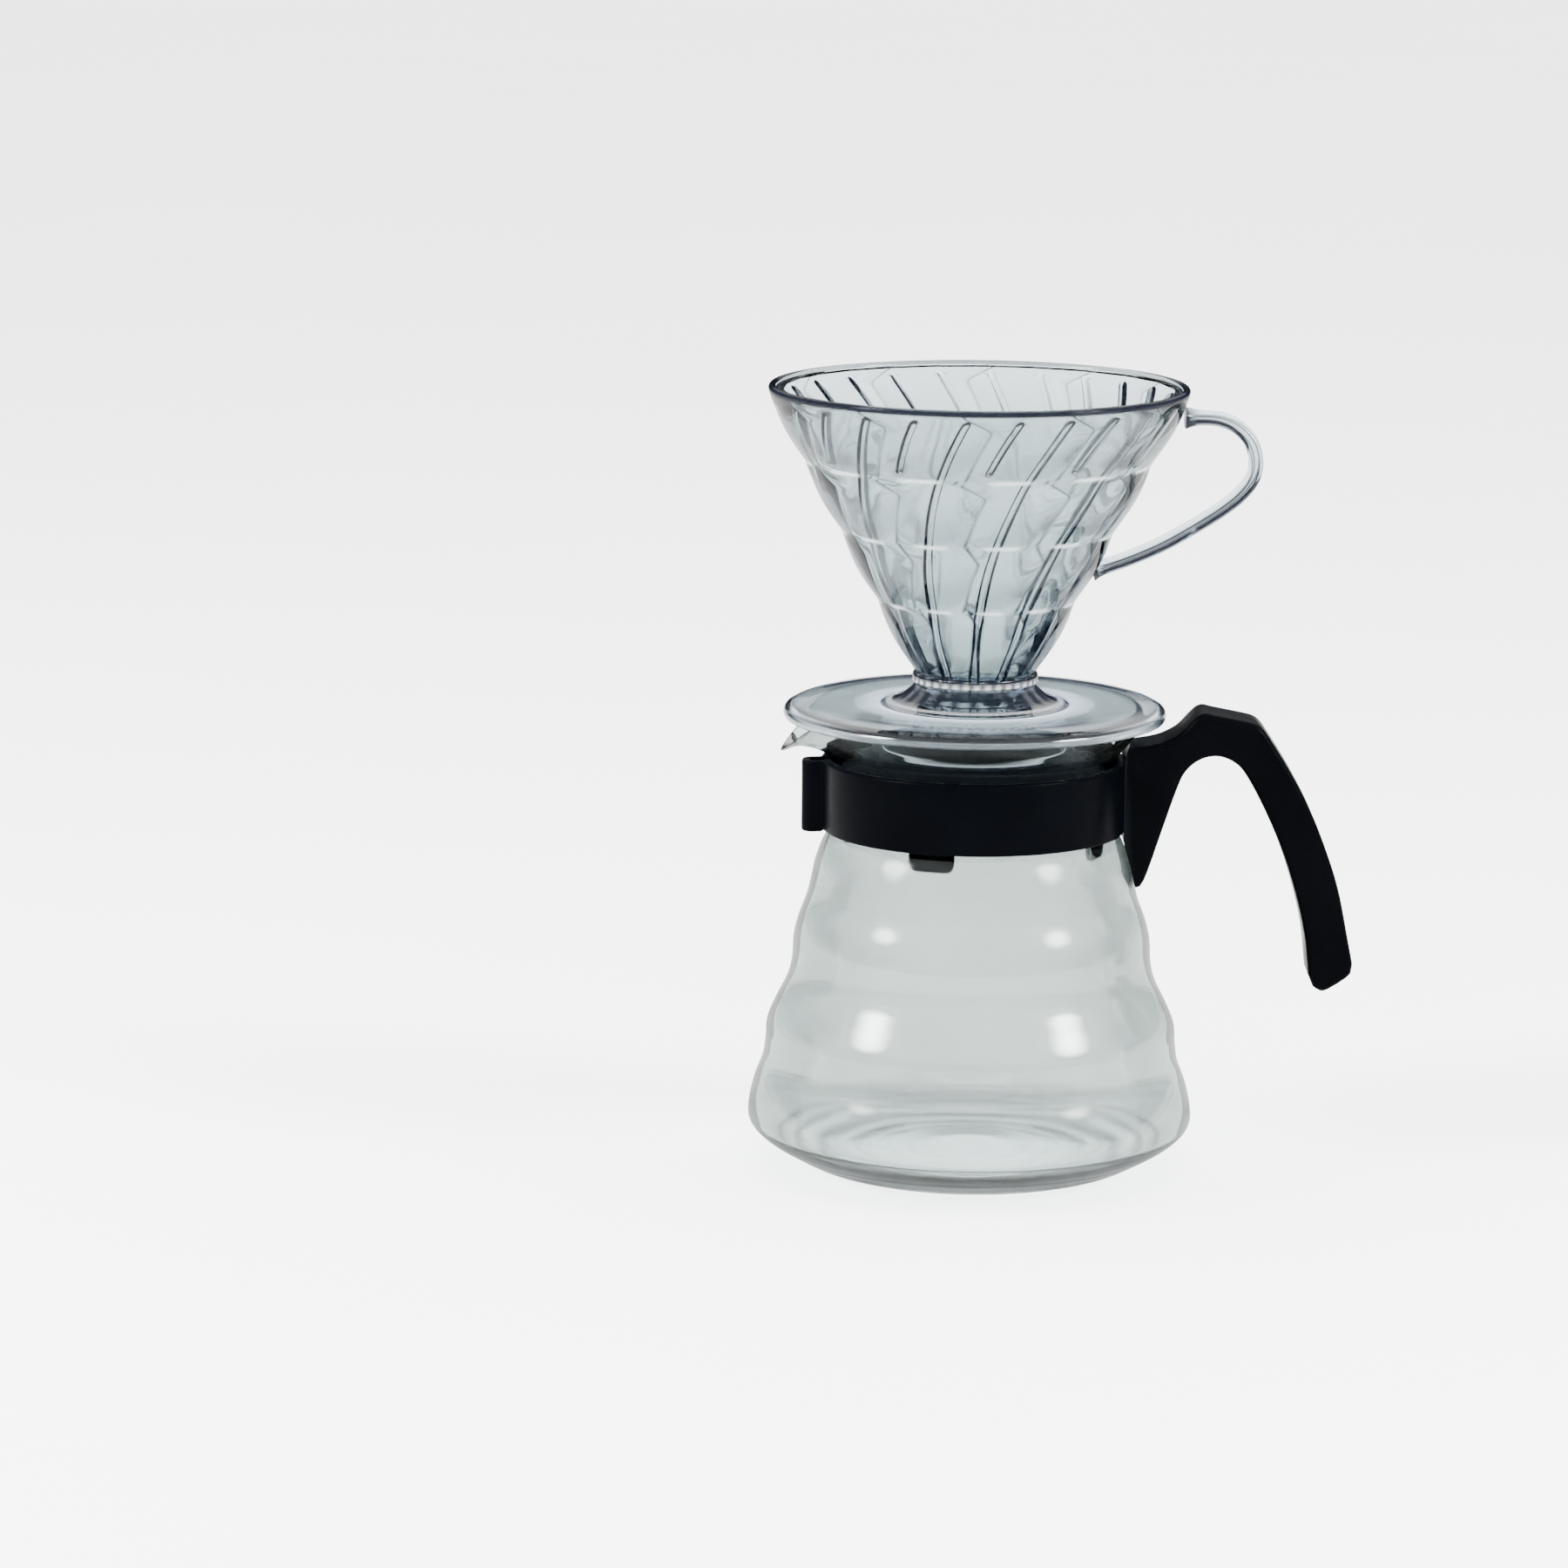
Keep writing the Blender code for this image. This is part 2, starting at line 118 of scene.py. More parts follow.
# Glass
WALL = 0.0020
BASE_R = 0.0369
NECK_R = 0.0395
LIP_Z = 0.1282
LIP_R = 0.0464
SPOUT_OUT = 0.0078
SPOUT_DROP = 0.0112
SPOUT_LOW_Z = 0.1140
SPOUT_HALF = math.radians(15.0)
SPOUT_FROM_X = -0.0440
SPOUT_FROM_Z = 0.1100
SPOUT_CROWD = 0.30
GLASS_COLUMNS = 240

# Lid
LID_R = 0.0372
LID_OPEN_R = 0.0200
LID_TOP_Z = 0.1173
LEGS = 4
LEG_IN_R = 0.0351
LEG_OUT_R = 0.0364
LEG_ROOT_Z = 0.1000
LEG_ROUND_Z = 0.0925
LEG_LOW_Z = 0.0895
LEG_STEPS = 12
LEG_PHASE = math.radians(-20.0)
LEG_HALF = math.radians(10.3)

# Strap
STRAP_IN_R = 0.0398
STRAP_THICK = 0.0025
STRAP_LOW_Z = 0.0956
STRAP_TOP_Z = 0.1155
FOLD_X = -0.0478
FOLD_HALF_Y = 0.0033
FOLD_CORNER = 0.0018
FOLD_TURN = 0.0017
FOLD_DROP = 0.0009

# Hooked handle
HANDLE_HALF_Y = 0.0088
HANDLE_ROUND = 0.0021

# Studio
CAMERA_PLACE = (-0.0527, -1.665, 0.4256)
CAMERA_DOWN = 10.82
CAMERA_ROLL = 0.5
CAMERA_LENS = 140
LAMP_AIM = (0, 0, 0.10)
LAMP_SIZE = (0.84, 0.70)
LAMP_PEAK = 3.4
FLOOR_R = 30
FLOOR_GAP = 0.0002
HORIZON_LEAN = -0.09
SKY_STRENGTH = 4.6


# Shares stored at the points of the clear pieces, among them painted shade and painted highlights
SHARES = ("line", "glint", "still", "pale")


# Meshes


def smooth_by_angle(obj, degrees):
    obj.data.shade_smooth()
    obj.data.set_sharp_from_angle(angle=math.radians(degrees))


def lofted(name, rings, mat, closed=True, sharp=50):
    """A closed skin over rings of equal length; an open one is capped at both ends."""
    count = len(rings[0])
    points = [p for ring in rings for p in ring]
    faces = []
    last = len(rings) if closed else len(rings) - 1
    for k in range(last):
        a = k * count
        b = (k + 1) % len(rings) * count
        for i in range(count):
            j = (i + 1) % count
            faces.append((a + i, a + j, b + j, b + i))
    if not closed:
        faces.append(tuple(range(count)))
        faces.append(tuple(reversed(range(len(points) - count, len(points)))))
    mesh = bpy.data.meshes.new(name)
    mesh.from_pydata(points, [], faces)
    bm = bmesh.new()
    bm.from_mesh(mesh)
    bmesh.ops.recalc_face_normals(bm, faces=bm.faces)
    bm.to_mesh(mesh)
    bm.free()
    obj = bpy.data.objects.new(name, mesh)
    bpy.context.scene.collection.objects.link(obj)
    mesh.materials.append(mat)
    smooth_by_angle(obj, sharp)
    return obj


def circle(r, z, count, shift=0.0):
    turns = [2 * math.pi * i / count + shift for i in range(count)]
    return [(r * math.cos(a), r * math.sin(a), z) for a in turns]


def turned(name, profile, mat, count, sharp):
    """A closed profile of (r, z) turned about Z."""
    return lofted(name, [circle(r, z, count) for r, z in profile], mat, sharp=sharp)


def curve_through(knots, steps):
    """A smooth line through the knots, with a number of steps from each to the next."""
    points = []
    for i in range(len(knots) - 1):
        before = knots[max(i - 1, 0)]
        start = knots[i]
        end = knots[i + 1]
        after = knots[min(i + 2, len(knots) - 1)]
        for k in range(steps):
            t = k / steps
            points.append(
                tuple(
                    0.5 * (2 * b + (c - a) * t + (2 * a - 5 * b + 4 * c - d) * t * t
                           + (3 * b - a - 3 * c + d) * t ** 3)
                    for a, b, c, d in zip(before, start, end, after)
                )
            )
    points.append(tuple(knots[-1]))
    return points


def rounded(outline, radius, steps):
    """A closed outline with each corner replaced by an arc-like curve of about that radius."""
    points = []
    count = len(outline)
    for i, corner in enumerate(outline):
        here = Vector(corner)
        back = Vector(outline[i - 1]) - here
        ahead = Vector(outline[(i + 1) % count]) - here
        cut = min(radius, 0.45 * back.length, 0.45 * ahead.length)
        a = here + back.normalized() * cut
        b = here + ahead.normalized() * cut
        for k in range(steps + 1):
            t = k / steps
            points.append(tuple(a.lerp(here, t).lerp(here.lerp(b, t), t)))
    return points


def arc(cx, cy, radius, start, end, steps):
    """Points along an arc between two angles in degrees."""
    turn = [math.radians(start + (end - start) * i / steps) for i in range(steps + 1)]
    return [(cx + radius * math.cos(a), cy + radius * math.sin(a)) for a in turn]


def boolean(obj, tool, operation):
    """Joins another solid to a piece or cuts it out of it, and uses it up."""
    mod = obj.modifiers.new("join", "BOOLEAN")
    mod.operation = operation
    mod.solver = "EXACT"
    mod.object = tool
    bpy.context.view_layer.objects.active = obj
    bpy.ops.object.modifier_apply(modifier=mod.name)
    bpy.data.objects.remove(tool)


def bevel(obj, width, segments, degrees):
    mod = obj.modifiers.new("round", "BEVEL")
    mod.width = width
    mod.segments = segments
    mod.limit_method = "ANGLE"
    mod.angle_limit = math.radians(degrees)
    mod.harden_normals = False
    bpy.context.view_layer.objects.active = obj
    bpy.ops.object.modifier_apply(modifier=mod.name)


def ease(t):
    t = min(max(t, 0.0), 1.0)
    return t * t * (3 - 2 * t)


def near(value, centre, reach):
    """1 where a value meets a centre, falling to 0 at its reach."""
    return ease(1 - abs(value - centre) / reach)


def store_shares(obj, **given):
    """Stores four shares from 0 to 1 at each point of a clear piece, for its finish to read.

    line: painted shade, near black, where a rib, seam or edge bends light away. glint: painted
    highlight, white, where light gathers. still: free of mirror reflections. pale: free of tint,
    a painted lightening. A share is a function of a point, and 0 everywhere if it isn't given.
    """
    for name in SHARES:
        layer = obj.data.attributes.new(name, "FLOAT", "POINT")
        share = given.get(name, lambda point: 0.0)
        layer.data.foreach_set("value", [min(max(share(v.co), 0.0), 1.0) for v in obj.data.vertices])


# Cone


def twist(z):
    """How far the ribs have turned at a height: slow at the hole, quicker towards the rim."""
    t = max((z - TIER_LOW_Z) / (RIB_TOP_Z - TIER_LOW_Z), 0.0)
    return math.radians(RIB_TWIST[0] * t + RIB_TWIST[1] * t * t)


def outer_radius(z):
    return TIER_LOW_R + (RIM_R - TIER_LOW_R) / (TIER_TOP_Z - TIER_LOW_Z) * (z - TIER_LOW_Z)


def inner_radius(z):
    return HOLE_R + (INNER_TOP_R - HOLE_R) / (TIER_TOP_Z - HOLE_Z) * (z - HOLE_Z)


def crease_turn(tier, up):
    """Where the valleys between pillows lie: they lean across a tier, then step back at its top."""
    foot, step, top = CREASES[tier]
    if up < CREASE_STEP:
        turn = foot + (step - foot) * up / CREASE_STEP
    else:
        turn = step + (top - step) * (up - CREASE_STEP) / (1 - CREASE_STEP)
    return math.radians(turn)


def tier_ring(tier, up):
    """A ring of the outside; each tier is a row of pillows, one to a sector."""
    z = TIER_LOW_Z + TIER_H * (tier + up)
    count = SECTORS * SECTOR_COLUMNS
    swell = (4 * up * (1 - up)) ** 1.2
    ring = []
    for i in range(count):
        across = abs(2 * (i % SECTOR_COLUMNS) / SECTOR_COLUMNS - 1)
        pillow = 1 - across ** PILLOW_FLAT
        r = outer_radius(z) + TIER_BULGE * swell * (1 - PILLOW_BULGE + PILLOW_BULGE * pillow)
        a = 2 * math.pi * i / count + FRONT + crease_turn(tier, up)
        ring.append((r * math.cos(a), r * math.sin(a), z))
    return ring


def cone_ring(r, z, tier=0, up=0.0):
    """A round ring with its points in line with those of a tier."""
    return circle(r, z, SECTORS * SECTOR_COLUMNS, FRONT + crease_turn(tier, up))


def rib_half(z):
    """Half the width of a long rib at a height, as a turn."""
    up = (z - HOLE_Z) / (TIER_TOP_Z - HOLE_Z)
    return (RIB_WIDTH_LOW + (RIB_WIDTH_TOP - RIB_WIDTH_LOW) * up) / 2 / inner_radius(z)


def rib_section():
    """Across a rib from edge to edge: (share of half width, share of height)."""
    side = [(1.12, 0.0), (1.0, 0.05), (0.90, 0.30), (0.78, 0.72), (0.64, 0.93), (0.42, 1.0)]
    return [(-w, h) for w, h in side] + [(0.0, 1.0)] + [(w, h) for w, h in reversed(side)]


def rib_end(z, tip, towards):
    """0 at a rib's tip to 1 a half width along it, rounded as a fingertip is."""
    t = min(max((z - tip) * towards / RIB_TIP, 0.0), 1.0)
    return math.sqrt(max(1 - (1 - t) ** 2, 0.0))


def ribbed_ring(z):
    """A ring of the inside: in each sector a long rib and, near the rim, a short one."""
    r = inner_radius(z)
    half = rib_half(z)
    top = rib_end(z, RIB_TOP_Z, -1)
    bottom = rib_end(z, HOLE_Z + 0.0002, 1)
    short = min(top, rib_end(z, SHORT_RIB_LOW_Z, 1))
    small = min(half, SHORT_RIB_HALF)
    section = rib_section()
    gap = SECTOR_COLUMNS // 2 - len(section)
    ring = []
    for i in range(2 * SECTORS):
        own, height = (half, min(top, bottom)) if i % 2 == 0 else (small, short)
        other = small if i % 2 == 0 else half
        own_w = own * max(height, 0.35)
        for w, h in section:
            ring.append((i * RIB_PITCH + w * own_w, RIB_HEIGHT * h * height))
        start = section[-1][0] * own_w
        stop = RIB_PITCH - section[-1][0] * other * 0.98
        for k in range(gap):
            t = (k + 1) / (gap + 1)
            ring.append((i * RIB_PITCH + start + (stop - start) * t, 0.0))
    shift = RIB_PHASE + FRONT + twist(z)
    return [((r - h) * math.cos(a + shift), (r - h) * math.sin(a + shift), z) for a, h in ring]


def cone_rings():
    """Spigot, bead, tiers, rim, then down the ribbed inside to the hole."""
    low = BEAD_LOW_Z
    rings = [cone_ring(SPIGOT_R - 0.0006, HOLE_Z), cone_ring(SPIGOT_R, HOLE_Z + 0.0008)]
    rings += [cone_ring(SPIGOT_R, HOLE_Z + 0.0030), cone_ring(SPIGOT_R, low - 0.0003)]
    for r, z in arc(BEAD_R - 0.0008, low + 0.0008, 0.0008, -90, 0, 4):
        rings.append(cone_ring(r, z))
    for r, z in arc(BEAD_R - 0.0010, low + 0.0022, 0.0010, 0, 70, 5):
        rings.append(cone_ring(r, z))
    rings.append(cone_ring(TIER_LOW_R - 0.0002, TIER_LOW_Z - 0.0003))
    for tier in range(TIERS):
        rings += [tier_ring(tier, k / TIER_RINGS) for k in range(TIER_RINGS)]
    for r, z in arc(RIM_R - RIM_ROUND, RIM_Z - RIM_ROUND, RIM_ROUND, 0, 180, 12):
        rings.append(cone_ring(r, z, TIERS - 1, 1.0))
    heights = [TIER_TOP_Z - 0.0003, RIB_TOP_Z + 0.0002]
    heights += [RIB_TOP_Z - RIB_TIP * k * k / 25 for k in range(6)]
    heights += [RIB_TOP_Z - RIB_TIP - k * RIB_TIP for k in range(1, 10)]
    heights += [SHORT_RIB_LOW_Z + RIB_TIP - RIB_TIP * (1 - (1 - k / 5) ** 2) for k in range(6)]
    z = SHORT_RIB_LOW_Z - 0.0012
    while z > HOLE_Z + 0.0022:
        heights.append(z)
        z -= RIB_RING_GAP
    heights += [HOLE_Z + 0.0015, HOLE_Z + 0.0008, HOLE_Z + 0.0004, HOLE_Z]
    return rings + [ribbed_ring(h) for h in heights]


def loop_path():
    """Centre line of the finger loop in its side view, from the rim round to the cone's wall."""
    knots = [
        (0.0566, 0.2108), (0.0600, 0.2109), (0.0662, 0.2105), (0.0712, 0.2084),
        (0.0750, 0.2043), (0.0764, 0.1990), (0.0755, 0.1942), (0.0720, 0.1895),
        (0.0664, 0.1850), (0.0590, 0.1803), (0.0510, 0.1757), (0.0420, 0.1717),
        (0.0345, 0.1691), (0.0318, 0.1683),
    ]
    return curve_through(knots, 7)


def loop_rings():
    """The finger loop: a flattened bar swept along its path, with thicker feet."""
    path = loop_path()
    rings = []
    last = len(path) - 1
    for i, (x, z) in enumerate(path):
        ahead = path[min(i + 1, last)]
        behind = path[max(i - 1, 0)]
        dx = ahead[0] - behind[0]
        dz = ahead[1] - behind[1]
        length = math.hypot(dx, dz)
        foot = 1.0 + LOOP_FOOT * ease(1 - min(i, last - i) / LOOP_FOOT_STEPS) ** 2
        ring = []
        for k in range(LOOP_COLUMNS):
            a = 2 * math.pi * k / LOOP_COLUMNS
            out, wide = math.sin(a), math.cos(a)
            out = LOOP_THICK / 2 * foot * math.copysign(abs(out) ** LOOP_SQUARE, out)
            wide = LOOP_WIDE / 2 * foot * math.copysign(abs(wide) ** LOOP_SQUARE, wide)
            ring.append((x - dz / length * out, wide, z + dx / length * out))
        rings.append(ring)
    return rings


def rib_painted_shade(a, z):
    """Painted shade on the flanks of the ribs: fine lines above, broad ones where the wall is thick
    below.
    """
    if not HOLE_Z < z < RIB_TOP_Z:
        return 0.0
    turn = (a - RIB_PHASE - FRONT - twist(z)) / RIB_PITCH
    index = round(turn)
    half = rib_half(z)
    if index % 2:
        if z < SHORT_RIB_LOW_Z:
            return 0.0
        half = min(half, SHORT_RIB_HALF)
    share = abs(turn - index) * RIB_PITCH / half
    low = ease((TIER_LOW_Z + TIER_H + 0.001 - z) / 0.004)
    return (0.50 + 0.50 * low) * near(share, 0.86, 0.26 + 0.16 * low)


def crease_painted_shade(a, z):
    """Painted shade in the valleys between pillows, deepest beside the seams."""
    where = (z - TIER_LOW_Z) / TIER_H
    tier = min(int(where), TIERS - 1)
    up = where - tier
    if where < 0 or up > 1:
        return 0.0
    turn = (a - FRONT - crease_turn(tier, up)) / SECTOR
    off = abs(turn - round(turn)) * SECTOR * outer_radius(z)
    return (0.42 + 0.50 * abs(2 * up - 1) ** 2) * near(off, 0.0, 0.0008)


def loop_painted_shade(point, path):
    """Painted shade: two fine lines along the front of the loop and two along its back, and darker
    where the loop meets the cone.
    """
    k = min(range(len(path)), key=lambda n: (path[n][0] - point.x) ** 2 + (path[n][1] - point.z) ** 2)
    ahead = path[min(k + 1, len(path) - 1)]
    behind = path[max(k - 1, 0)]
    run = Vector((ahead[0] - behind[0], ahead[1] - behind[1])).normalized()
    out = (point.z - path[k][1]) * run.x - (point.x - path[k][0]) * run.y
    line = near(abs(out), 0.34 * LOOP_THICK / 2, 0.00034) if abs(point.y) > 0.0020 else 0.0
    foot = ease(1 - min(k, len(path) - 1 - k) / 10)
    return max(line, 0.6 * foot)


def cone_painted_shade(path):
    """Painted shade lines of the cone: on the rim, the bead, the ribs inside, the valleys and the
    loop.
    """

    def line(point):
        r = math.hypot(point.x, point.y)
        a = math.atan2(point.y, point.x)
        z = point.z
        if r > outer_radius(z) + 0.0022 and point.x > 0 and abs(point.y) < 0.007:
            return loop_painted_shade(point, path)
        if z > TIER_TOP_Z - 0.0002:
            return 0.9 * near(z, 0.2187, 0.0009) * ease((r - RIM_R + 0.0009) / 0.0006)
        if z < TIER_LOW_Z:
            shade_dashes = 0.5 + 0.5 * math.cos(BEAD_SHADE_DASHES * a)
            return 0.75 * near(z, 0.1394, 0.0016) * shade_dashes if r > SPIGOT_R + 0.001 else 0.1
        middle = (inner_radius(z) + outer_radius(z)) / 2
        return rib_painted_shade(a, z) if r < middle else crease_painted_shade(a, z)

    return line


def cone_painted_glint(point):
    """Painted highlights: short bright bars where the middle of a pillow meets the seam under it, and
    on the bead.
    """
    r = math.hypot(point.x, point.y)
    if point.z < 0.1390:
        glint_bars = 0.6 + 0.4 * math.cos(BEAD_PAINTED_GLINTS * math.atan2(point.y, point.x))
        return 0.42 * glint_bars * near(point.z, 0.1376, 0.0007) if r > BEAD_R - 0.0012 else 0.0
    where = (point.z - TIER_LOW_Z) / TIER_H
    tier = round(where)
    if not 1 <= tier < TIERS or r < (inner_radius(point.z) + outer_radius(point.z)) / 2:
        return 0.0
    turn = (math.atan2(point.y, point.x) - FRONT - crease_turn(tier, 0.0)) / SECTOR
    middle = abs(turn - math.floor(turn) - 0.5)
    return 0.30 * near(where, tier, 0.026) * ease((0.32 - middle) / 0.18)


def make_cone(mat):
    """The cone with its ribs and pillows, and its finger loop, as one moulding."""
    cone = lofted("cone", cone_rings(), mat, sharp=24)
    loop = lofted("cone_loop", loop_rings(), mat, closed=False)
    boolean(cone, loop, "UNION")
    smooth_by_angle(cone, 24)
    store_shares(cone, line=cone_painted_shade(loop_path()), glint=cone_painted_glint)
    return cone


# Plate


def make_base(mat):
    """Hub, plate with a turned-down edge, and the skirt that drops onto the lid."""
    hub_r = SPIGOT_R + 0.0003
    hub_top = BEAD_LOW_Z - 0.0003
    top = PLATE_TOP_Z
    low = PLATE_LOW_Z
    flare = curve_through(
        [(0.0171, hub_top - 0.0003), (0.0176, hub_top - 0.0009), (0.0184, 0.1346),
         (0.0204, 0.1330), (0.0234, 0.1318), (0.0275, top)], 5)
    edge = curve_through(
        [(PLATE_R - 0.0030, top - 0.0003), (PLATE_R - 0.0008, top - 0.0012),
         (PLATE_R, top - 0.0026), (PLATE_R - 0.0003, top - 0.0038),
         (PLATE_R - 0.0009, top - 0.0041), (PLATE_R - 0.0018, top - 0.0040),
         (PLATE_R - 0.0024, low - 0.0004), (PLATE_R - 0.0034, low)], 4)
    outside = arc(SKIRT_OUT_R + SKIRT_ROUND, low - SKIRT_ROUND, SKIRT_ROUND, 90, 180, 5)
    outside += [(SKIRT_OUT_R, low - 0.0012 - 0.00035 * k) for k in range(26)]
    turn = SKIRT_FOOT_ROUND
    foot = arc(SKIRT_OUT_R - turn, SKIRT_LOW_Z + turn, turn, 0, -90, 3)
    foot += arc(SKIRT_IN_R + turn, SKIRT_LOW_Z + turn, turn, -90, -180, 3)
    foot += [(SKIRT_IN_R, SKIRT_LOW_Z + 0.0010 + 0.0010 * k) for k in range(9)]
    inside = arc(SKIRT_IN_R - SKIRT_ROUND, low - SKIRT_ROUND, SKIRT_ROUND, 0, 90, 5)
    bore = [(hub_r + 0.0004, low), (hub_r, low + 0.0004), (hub_r, hub_top - 0.0003),
            (hub_r + 0.0003, hub_top), (0.0168, hub_top)]
    rings = [(0.0295, top), (0.0370, top), (0.0460, top)]
    under = [(PLATE_R - 0.0110, low), (0.0340, low)]
    profile = flare + rings + edge + under + outside + foot + inside + bore
    base = turned("base", profile, mat, 288, sharp=40)
    store_shares(base, line=base_painted_shade, glint=base_painted_glint, still=base_still)
    return base


def base_painted_shade(point):
    """Painted shade: the hub's flare is nearly black between bars of light, and fine dark rings mark
    the plate's edge.
    """
    r = math.hypot(point.x, point.y)
    if point.z > PLATE_TOP_Z + 0.0003:
        turn = math.atan2(point.y, point.x) - RIB_PHASE - FRONT
        bars = 0.5 + 0.5 * math.cos(2 * SECTORS * turn)
        return min(1.3 * near(r, 0.0192, 0.0040), 0.95) * (0.55 + 0.45 * bars)
    if r > PLATE_R - 0.0013:
        return 0.75 * near(point.z, 0.1272, 0.0004) + 0.60 * near(point.z, 0.1297, 0.0005)
    if r > SKIRT_OUT_R + 0.002:
        return 0.35 * near(r, PLATE_R - 0.0034, 0.0006)
    return 0.0


def base_painted_glint(point):
    """Painted highlights, pale where light gathers: round the foot of the hub, in layers down
    the top of the skirt, and along the skirt's lower edge."""
    r = math.hypot(point.x, point.y)
    if point.z > PLATE_TOP_Z - 0.0001:
        return 0.14 * near(r, 0.0238, 0.0012)
    if r > SKIRT_OUT_R + 0.002 or r < SKIRT_OUT_R - 0.0004:
        return 0.0
    edge = 0.40 * near(point.z, SKIRT_LOW_Z + SKIRT_FOOT_ROUND, 0.0006)
    layers = 0.5 + 0.5 * math.cos(2 * math.pi * (point.z - PLATE_LOW_Z) / 0.0016)
    return edge + ease((point.z - 0.1232) / 0.0012) * (0.45 + 0.50 * layers)


def base_still(point):
    """The skirt under the plate carries almost no reflections."""
    return 0.95 * ease((PLATE_LOW_Z - 0.0005 - point.z) / 0.001)


# Glass


def outside_knots():
    """Outside of the server from the foot to the neck: three soft waves over a full belly."""
    return [
        (BASE_R, 0.0), (0.0455, 0.0020), (0.0520, 0.0052), (0.0582, 0.0090),
        (0.0617, 0.0128), (0.0618, 0.0175), (0.0603, 0.0240), (0.0581, 0.0300),
        (0.0573, 0.0355), (0.0569, 0.0405), (0.0547, 0.0460), (0.0515, 0.0525),
        (0.0501, 0.0580), (0.0497, 0.0645), (0.0484, 0.0700), (0.0462, 0.0760),
        (0.0449, 0.0815), (0.0438, 0.0865), (0.0417, 0.0920), (NECK_R, STRAP_LOW_Z),
    ]


def finer(path, top, count):
    """Adds points to the part of a profile below a height, where thin lines are drawn."""
    done = []
    for (r, z), (r2, z2) in zip(path, path[1:]):
        parts = count if z < top else 1
        done += [(r + (r2 - r) * k / parts, z + (z2 - z) * k / parts) for k in range(parts)]
    return done + [path[-1]]


def glass_profile():
    """From the middle of the underside out, up the outside, over the lip and down the inside."""
    lip = [
        (NECK_R, STRAP_TOP_Z), (0.0404, 0.1175), (0.0424, 0.1200), (0.0446, 0.1226),
        (0.0460, 0.1252), (LIP_R, LIP_Z - 0.0010), (LIP_R - 0.0004, LIP_Z - 0.0002),
        (LIP_R - 0.0010, LIP_Z), (LIP_R - 0.0015, LIP_Z - 0.0003),
        (LIP_R - 0.0018, LIP_Z - 0.0012), (0.0443, 0.1256), (0.0431, 0.1234),
        (0.0411, 0.1210), (0.0392, 0.1186), (0.0383, 0.1174),
    ]
    neck = [(LID_R + 0.0003, 0.1150), (LID_R + 0.0003, 0.1115), (0.0369, 0.1000),
            (0.0370, 0.0965)]
    belly = [(r - WALL, z + 0.0004) for r, z in reversed(outside_knots()[4:-1])]
    floor = [(0.0585, 0.0118), (0.0558, 0.0099), (0.0520, 0.0079), (0.0475, 0.0062),
             (0.0430, 0.0052), (0.0360, 0.0046), (0.0280, 0.0042), (0.0170, 0.0040),
             (0.0160, 0.0035), (0.0100, 0.0034), (0.0030, 0.0034)]
    foot = [(0.0030, 0.0008), (0.0200, 0.0008), (0.0335, 0.0006), (0.0352, 0.0001)]
    return (foot + finer(curve_through(outside_knots(), 6), 0.0100, 3) +
            curve_through(lip + neck + belly + floor, 5))


def spout(point):
    """Draws the lip out and down around -X into a pouring beak."""
    x, y, z = point
    off = math.atan2(y, -x)
    side = math.exp(-((off / SPOUT_HALF) ** 2))
    up = max((z - SPOUT_LOW_Z) / (LIP_Z - SPOUT_LOW_Z), 0.0)
    r = math.hypot(x, y)
    grow = 1 + SPOUT_OUT * side * up ** 1.4 / max(r, 0.01)
    pinch = 1 - 0.35 * side * up * abs(math.sin(off))
    return (x * grow, y * grow * pinch, z - SPOUT_DROP * side * up ** 2)


def make_glass(mat):
    """The server's wall, turned; its columns are closer together round the pouring lip."""
    turns = [2 * math.pi * i / GLASS_COLUMNS for i in range(GLASS_COLUMNS)]
    turns = [a + SPOUT_CROWD * math.sin(a) for a in turns]
    rings = []
    for r, z in glass_profile():
        rings.append([spout((r * math.cos(a), r * math.sin(a), z)) for a in turns])
    server = lofted("server", rings, mat, closed=False, sharp=60)
    store_shares(server, line=glass_painted_shade, glint=floor_painted_glint, still=neck_still, pale=floor_painted_lightening)
    return server


def floor_painted_glint(point):
    """Painted highlight: a pale ring round the dimple in the middle of the floor, and the dimple a
    little paler.
    """
    r = math.hypot(point.x, point.y)
    if point.z > 0.006:
        return 0.0
    return 0.30 * near(r, 0.0205, 0.0032) + 0.12 * ease((0.0145 - r) / 0.002)


def floor_painted_lightening(point):
    """Painted lightening: the floor of the server is given a paler tint than its walls, so that it
    reads brighter.
    """
    r = math.hypot(point.x, point.y)
    return ease((0.0540 - r) / 0.006) * ease((0.0110 - point.z) / 0.003)


def neck_still(point):
    """The neck and lip carry almost no reflections, so that the lid shows dark behind them."""
    if point.x < SPOUT_FROM_X and point.z > SPOUT_FROM_Z:
        return 0.35
    return 0.80 * ease((point.z - 0.0800) / 0.006) + 0.17 * ease((point.z - 0.1120) / 0.003)


def glass_painted_shade(point):
    """Painted shade lines of the thick foot, the dimple in the floor, the rolled lip and the beak."""
    r = math.hypot(point.x, point.y)
    foot = 0.0
    if r > BASE_R - 0.002 and point.z < 0.0120:
        layers = 0.5 + 0.5 * math.cos(2 * math.pi * (point.z - 0.0010) / 0.0027)
        foot = 0.62 * layers ** 4 * ease((0.0095 - point.z) / 0.004)
    if point.z < 0.006:
        foot += 0.26 * near(r, 0.0165, 0.0026)
    beak = lip = 0.0
    if point.x > SPOUT_FROM_X:
        lip = near(point.z, LIP_Z - 0.0006, 0.0009)
    elif point.z >= SPOUT_FROM_Z:
        side = math.exp(-((math.atan2(point.y, -point.x) / SPOUT_HALF) ** 2))
        edge = LIP_R + SPOUT_OUT * side
        beak = ease((SPOUT_FROM_X - point.x) / 0.003) * ease((r - edge + 0.0013) / 0.0008)
    return foot + 0.45 * lip + 0.60 * beak


# Lid


